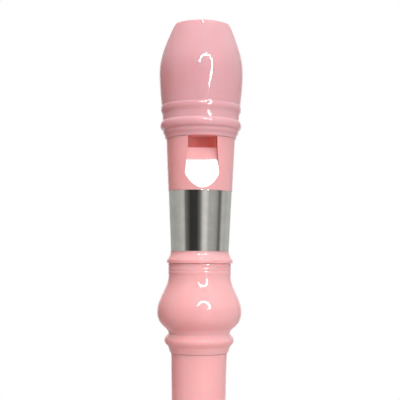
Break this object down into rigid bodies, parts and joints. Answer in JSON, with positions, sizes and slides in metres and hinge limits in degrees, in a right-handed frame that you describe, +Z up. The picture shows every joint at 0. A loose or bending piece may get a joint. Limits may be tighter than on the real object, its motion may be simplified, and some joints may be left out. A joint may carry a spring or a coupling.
{
  "type": "soprano recorder",
  "caption": "Soprano recorder in three joints: a beaked head with window and labium, a holed middle tube and a waisted foot, in glossy translucent plastic with a bare metallised band.",
  "frame": {"origin": "centre of the foot's flat end, on the bore's axis", "axes": "+Z up the bore to the beak's tip; -Y to the front, where the window and finger holes are; +X to the right of someone facing the window"},
  "size_m": [0.0314, 0.0313, 0.326],
  "materials": {
    "shell_plastic": "glossy, slightly translucent pink ABS",
    "block_plastic": "glossy pink ABS, a little deeper in colour",
    "band_foil": "mirror-like metallised foil",
    "seal_rubber": "matt black rubber, greased"
  },
  "bodies": {
    "middle": {"middle_joint": "shell_plastic"},
    "upper_seal_ring": {"upper_seal": "seal_rubber"},
    "head": {"mouthpiece_cap": "shell_plastic", "windway_block": "block_plastic", "head_tube": "shell_plastic", "band_sleeve": "band_foil", "head_socket": "shell_plastic"},
    "lower_seal_ring": {"lower_seal": "seal_rubber"},
    "foot": {"foot_joint": "shell_plastic"}
  },
  "joints": [
    {"name": "head_turn", "type": "hinge", "parent": "middle", "child": "upper_seal_ring", "pos_m": [0, 0, 0.2153], "axis": [0, 0, 1], "continuous": true},
    {"name": "head_pull", "type": "slide", "parent": "upper_seal_ring", "child": "head", "axis": [0, 0, 1], "range_m": [0, 0.022]},
    {"name": "foot_turn", "type": "hinge", "parent": "middle", "child": "lower_seal_ring", "pos_m": [0, 0, 0.0577], "axis": [0, 0, 1], "continuous": true},
    {"name": "foot_pull", "type": "slide", "parent": "lower_seal_ring", "child": "foot", "axis": [0, 0, -1], "range_m": [0, 0.0175]}
  ]
}
